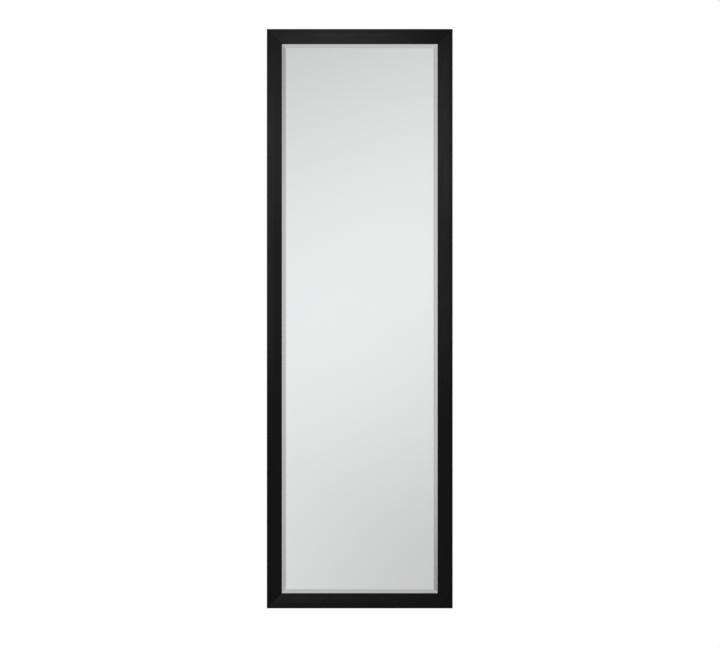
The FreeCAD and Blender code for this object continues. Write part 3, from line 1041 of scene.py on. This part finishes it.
# Glass, its silvering, the boards behind it and the blocks under it

glassShape = {"bevelWidth": 0.016, "rimThickness": 0.0025, "arris": 0.0003}


def makeGlass():
    bevel = glassShape["bevelWidth"]
    rimFront = glassHigh.y - glassShape["rimThickness"]
    verts = []
    for inset, y in ((0, glassHigh.y), (0, rimFront), (bevel, glassLow.y)):
        left, right = glassLow.x + inset, glassHigh.x - inset
        bottom, top = glassLow.z + inset, glassHigh.z - inset
        verts += [(left, y, bottom), (right, y, bottom), (right, y, top), (left, y, top)]
    faces = [(0, 1, 2, 3), (8, 9, 10, 11)]
    for ring in (0, 4):
        faces += [(ring + k, ring + (k + 1) % 4, ring + 4 + (k + 1) % 4, ring + 4 + k) for k in range(4)]
    faceFinish = [0, 0] + [1] * 4 + [0] * 4  # the rim is ground, and the rest polished
    piece = makePiece("bevelledGlass", verts, faces, ["glass", "ground"], faceFinish)
    easeEdges(piece, glassShape["arris"], 1, 45)
    settle(piece)
    hang(piece, "mirror", "glass", "mirror_glass")
    return piece


def makeSilverCoat():
    front = coatLow.y - silvering["overlap"]
    margin = glassShape["arris"] * 2  # the coat stops short of the ground rim
    low = (coatLow.x + margin, front, coatLow.z + margin)
    high = (coatHigh.x - margin, coatHigh.y, coatHigh.z - margin)
    verts, faces = blocks([(low, high)])
    piece = makePiece("silverCoat", verts, faces, ["silver", "paint"])
    for face in piece.data.polygons:
        face.material_index = 0 if face.normal.y < -0.5 else 1  # silver to the glass, paint elsewhere
    hang(piece, "mirror", "silver", "silver_coat")


boardShape = {"sawn": 0.0004}  # softness of the sawn edges


def makeBackingBoard():
    verts, faces = blocks([(boardLow, boardHigh)])
    piece = makePiece("backingBoard", verts, faces, ["board"])
    easeEdges(piece, boardShape["sawn"])
    shadeRound(piece)
    hang(piece, "mirror", "board", "backing_board")


cardShape = {
    "liner": 0.00025,  # paper on either face
    "medium": 0.0002,  # fluted paper between them
    "glue": 0.00001,  # thickness of a glue line
    "steps": 8,  # points in one flute
}


def flutedPaper(low, high):
    half = cardShape["medium"] / 2
    swing = (high.y - low.y) / 2 - cardShape["liner"] - cardShape["glue"] - half
    pace = 2 * math.pi / fluteCard["pitch"]
    start, run = low.x + half, high.x - low.x - 2 * half
    count = round(run / fluteCard["pitch"] * cardShape["steps"])
    skins = ([], [])
    for step in range(count + 1):
        x = start + run * step / count
        y = (low.y + high.y) / 2 + swing * math.cos(pace * x)
        through = Vector((pace * swing * math.sin(pace * x), 1)).normalized() * half
        for skin, side in zip(skins, (1, -1)):
            skin.append([(x + side * through.x, y + side * through.y, z) for z in (low.z, high.z)])
    return thickSheet(*skins)


def makeFillerCard():
    low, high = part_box("filler_sheet")
    liner = cardShape["liner"]
    liners = blocks([(low, (high.x, low.y + liner, high.z)), ((low.x, high.y - liner, low.z), high)])
    piece = makePiece("fillerCard", *gather([liners, flutedPaper(low, high)]), ["card"])
    shadeRound(piece, 60)
    hang(piece, "mirror", "card", "filler_sheet")


settingBlock = {"eased": 0.0003}


def makeSettingBlock(hand, side):
    low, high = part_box("setting_block_" + side)
    piece = makePiece("settingBlock" + hand, *blocks([(low, high)]), ["rubber"])
    easeEdges(piece, settingBlock["eased"])
    shadeRound(piece)
    hang(piece, "mirror", "rubber", "setting_block_" + side)


bevelledGlass = makeGlass()
makeSilverCoat()
makeFillerCard()
makeBackingBoard()
for hand, side in hands.items():
    makeSettingBlock(hand, side)
print("glass bevelled, silvered, bedded and backed")


# Wall bumpers

bumperShape = {
    "rimShare": 10 / 13,  # the wall end against the base
    "flare": 0.0005,  # upright foot before the sides lean in
    "edgeRadius": 0.0009,
    "edgeStart": 0.25,  # radians, where the side meets the rounding
    "dish": 0.0003,
    "dishShare": (0.55, 0.45),  # where the dish starts and is full
    "edgeSteps": 6,
    "sides": 48,
}


def makeBumper(hand, side):
    low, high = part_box("bumper_" + side)
    base = (high.x - low.x) / 2
    height = high.y - low.y
    rim = base * bumperShape["rimShare"]
    edge, start = bumperShape["edgeRadius"], bumperShape["edgeStart"]
    dished = height - bumperShape["dish"]
    outer, inner = bumperShape["dishShare"]
    profile = [(0, 0), (base, 0), (base, bumperShape["flare"])]
    profile += arcPoints((rim - edge, height - edge), edge, start, math.pi / 2, bumperShape["edgeSteps"])
    profile += [(rim * outer, height), (rim * inner, dished), (0, dished)]
    centre = Matrix.Translation(((low.x + high.x) / 2, low.y, (low.z + high.z) / 2))
    piece = makePiece("wallBumper" + hand, *moved(lathe(profile, bumperShape["sides"]), centre), ["rubber"])
    shadeRound(piece, 40)
    hang(piece, "mirror", "rubber", "bumper_" + side)


for hand, side in hands.items():
    makeBumper(hand, side)
print("bumpers turned")


# V nails keep their CAD shape

cornerNames = ("top_right", "bottom_right", "bottom_left", "top_left")
for cornerName in cornerNames:
    mesh = frame["nodes"]["corner_nails_" + cornerName].data
    mesh.materials.clear()
    mesh.materials.append(finishes["zinc"])
print("V nails plated at", len(cornerNames), "corners")


# Studio: white backdrop, soft light and a pale floor

studio = {
    "backdrop": 1.0,  # what the camera sees behind the mirror
    "fill": 0.80,  # even light on every surface
    "wall": 0.44,  # soft wall that the glass looks at
    "wallTint": (0.995, 0.996, 1.002),
    # how the wall brightens away from straight ahead: which way, by how much, from where and to where
    "glows": (
        ("aside", 0.20, 0.19, 0.33),
        ("aside", 0.19, 0.33, 0.95),
        ("down", 0.10, 0.12, 0.30),
        ("down", 0.22, 0.30, 1.00),
        ("up", 0.10, 0.12, 0.30),
        ("up", 0.22, 0.30, 1.00),
    ),
    "sweep": 0.07,  # broad bands that cross the wall out there
    "sweepWidth": 0.26,
    "sweepTurn": 43,
    "dimFront": 0.080,  # dark side of the room that the lacquer and metal see
    "brightBack": 0.95,
    "roomTurn": (-0.35, 0.6),  # where the room starts to brighten and is bright, from front to back
    # soft streaks of light and shade on the wall: strength, place across and up, half sizes, turn in degrees
    "streaks": (
        (0.18, (-0.02, -0.01), (0.60, 0.060), 40),
        (0.18, (-0.05, 0.01), (0.60, 0.085), 0),
        (0.17, (0.02, -0.10), (0.15, 0.600), 15),
        (0.18, (-0.06, -0.06), (0.10, 0.045), -5),
        (-0.20, (-0.12, -0.08), (0.35, 0.035), -30),
        (-0.12, (0.12, 0.07), (0.35, 0.030), -30),
    ),
}


def wallStreak(tree, look, strength, place, size, turn):
    spot = {
        "Vector": look,
        "Location": (place[0], -1, place[1]),
        "Rotation": (0, math.radians(-turn), 0),
        "Scale": (size[0], 2, size[1]),
    }
    patch = addNode(tree, "ShaderNodeMapping", spot, vector_type="TEXTURE").outputs["Vector"]
    ball = addNode(tree, "ShaderNodeTexGradient", {"Vector": patch}, gradient_type="SPHERICAL")
    return spread(tree, ball.outputs["Fac"], 0, strength, curve="SMOOTHSTEP")


def wallSweep(tree, look):
    turn, pace = math.radians(studio["sweepTurn"]), 2 * math.pi / studio["sweepWidth"]
    over = (pace * math.sin(turn), 0, -pace * math.cos(turn))
    phase = addNode(tree, "ShaderNodeVectorMath", {0: look, 1: over}, operation="DOT_PRODUCT")
    return addNode(tree, "ShaderNodeMath", {0: phase.outputs["Value"]}, operation="SINE").outputs["Value"]


def makeStudio():
    world = bpy.data.worlds.new("studio")
    bpy.context.scene.world = world
    world.use_nodes = True
    tree = world.node_tree
    tree.nodes.clear()
    rays = addNode(tree, "ShaderNodeLightPath").outputs
    look = addNode(tree, "ShaderNodeTexCoord").outputs["Generated"]
    parts = addNode(tree, "ShaderNodeSeparateXYZ", {"Vector": look}).outputs
    aside = addNode(tree, "ShaderNodeMath", {0: parts["X"]}, operation="ABSOLUTE").outputs["Value"]
    ways = {"aside": aside, "down": combine(tree, "MULTIPLY", parts["Z"], -1), "up": parts["Z"]}
    wall, outside = studio["wall"], 0.0
    for way, strength, start, end in studio["glows"]:
        reach = spread(tree, ways[way], 0, 1, start, end, "SMOOTHSTEP")
        wall = combine(tree, "ADD", wall, combine(tree, "MULTIPLY", reach, strength))
        outside = combine(tree, "MAXIMUM", outside, reach)
    sweep = combine(tree, "MULTIPLY", wallSweep(tree, look), studio["sweep"])
    wall = combine(tree, "ADD", wall, combine(tree, "MULTIPLY", sweep, outside))
    for streak in studio["streaks"]:
        wall = combine(tree, "ADD", wall, wallStreak(tree, look, *streak))
    wall = addNode(tree, "ShaderNodeVectorMath", {0: wall, 1: studio["wallTint"]}, operation="MULTIPLY")
    room = spread(tree, parts["Y"], studio["dimFront"], studio["brightBack"], *studio["roomTurn"])
    fillLight = addNode(tree, "ShaderNodeBackground", {"Color": (*grey(studio["fill"]), 1)})
    roomLight = addNode(tree, "ShaderNodeBackground", {"Color": room})
    wallLight = addNode(tree, "ShaderNodeBackground", {"Color": wall.outputs["Vector"]})
    white = addNode(tree, "ShaderNodeBackground", {"Color": (*grey(studio["backdrop"]), 1)})
    shader = fillLight
    seen = {"Is Glossy Ray": roomLight, "Is Transmission Ray": wallLight, "Is Camera Ray": white}
    for ray, light in seen.items():
        mix = {"Fac": rays[ray], 1: shader.outputs[0], 2: light.outputs[0]}
        shader = addNode(tree, "ShaderNodeMixShader", mix)
    addNode(tree, "ShaderNodeOutputWorld", {"Surface": shader.outputs[0]})


lamps = {
    "keyLamp": {
        "place": (-0.30, -1.15, -0.18),
        "aim": (-0.30, 0, -0.18),
        "size": (0.60, 0.72),
        "watts": 1.01,
    },
    "nearLamp": {
        "place": (-0.01, -0.55, 0.05),
        "aim": (-0.01, 0, 0.05),
        "size": (0.28, 0.42),
        "watts": 0.232,
    },
    "backLamp": {
        "place": (0.9, 1.9, 1.1),
        "aim": (0, 0, -0.4),
        "size": (1.2, 1.2),
        "watts": 12,
    },
}


def makeLamp(name):
    want = lamps[name]
    light = bpy.data.lights.new(name, "AREA")
    light.shape = "RECTANGLE"
    light.size, light.size_y = want["size"]
    light.energy = want["watts"]
    lamp = bpy.data.objects.new(name, light)
    bpy.context.scene.collection.objects.link(lamp)
    place = Vector(want["place"])
    lamp.location = place
    lamp.rotation_euler = (Vector(want["aim"]) - place).to_track_quat("-Z", "Y").to_euler()
    lamp.visible_camera = False
    lamp.visible_transmission = False
    shaded = bpy.data.collections.new(name + "LeavesOut")  # the glass shows no lamp
    shaded.objects.link(bevelledGlass)
    shaded.collection_objects[0].light_linking.link_state = "EXCLUDE"
    lamp.light_linking.receiver_collection = shaded


floorShape = {
    "drop": 0.27,  # below the mirror, which hangs on a wall
    "radius": 1.4,
    "rings": 6,
    "sides": 96,
    "fade": (0.55, 1.38),  # where it starts to melt into the backdrop and is gone
    "tone": 0.86,
    "mottle": 0.985,
    "mottleScale": 14,
    "roughness": 0.9,
}


def makeFloor():
    finish, tree, shader, place = newFinish("paleFloor")
    tone, darker = grey(floorShape["tone"]), grey(floorShape["tone"] * floorShape["mottle"])
    mottle = mixColour(tree, speckle(tree, place, floorShape["mottleScale"], 4), tone, darker)
    wire(tree, shader, Base_Color=mottle, Roughness=floorShape["roughness"])
    away = addNode(tree, "ShaderNodeVectorMath", {0: place}, operation="LENGTH").outputs["Value"]
    fade = spread(tree, away, 0, 1, *floorShape["fade"], "SMOOTHSTEP")
    clear = addNode(tree, "ShaderNodeBsdfTransparent")
    mix = addNode(tree, "ShaderNodeMixShader", {"Fac": fade, 1: shader.outputs[0], 2: clear.outputs[0]})
    tree.links.new(mix.outputs[0], tree.nodes["Material Output"].inputs["Surface"])
    finishes["floor"] = finish
    rings = floorShape["rings"]
    radii = [floorShape["radius"] * ring / rings for ring in range(rings + 1)]
    disc = lathe([(radius, 0) for radius in radii], floorShape["sides"])
    level = Matrix.Rotation(math.pi / 2, 4, "X")
    floor = makePiece("paleFloor", *moved(disc, level), ["floor"])
    floor.location = (0, (frameBack + frameFront) / 2, bottomLow.z - floorShape["drop"])
    floor.visible_glossy = False  # lacquer and metal see the room instead, and the glass the wall
    floor.visible_transmission = False


makeStudio()
for lampName in lamps:
    makeLamp(lampName)
makeFloor()
print("studio lit")


# Camera straight on, with a long lens, placed from the outline in the photograph

photo = {"size": (720, 648), "left": 266.82, "right": 452.68, "top": 28.94, "bottom": 608.43}
view = {"distance": 12.0, "sensor": 36.0}


def makeCamera():
    width, height = photo["size"]
    pixel = 2 * outerHalf / (photo["right"] - photo["left"])  # metres at the frame's front
    across = (width - photo["left"] - photo["right"]) / 2 * pixel
    up = -(height - photo["top"] - photo["bottom"]) / 2 * pixel
    camera = bpy.data.cameras.new("camera")
    camera.sensor_width = view["sensor"]
    camera.lens = view["distance"] / (width * pixel) * view["sensor"]
    stand = bpy.data.objects.new("camera", camera)
    bpy.context.scene.collection.objects.link(stand)
    stand.location = (across, frameFront - view["distance"], centreHeight + up)
    stand.rotation_euler = (math.pi / 2, 0, 0)
    bpy.context.scene.camera = stand


makeCamera()
bpy.context.scene.view_settings.view_transform = "Standard"
print("camera set")

bpy.context.view_layer.update()
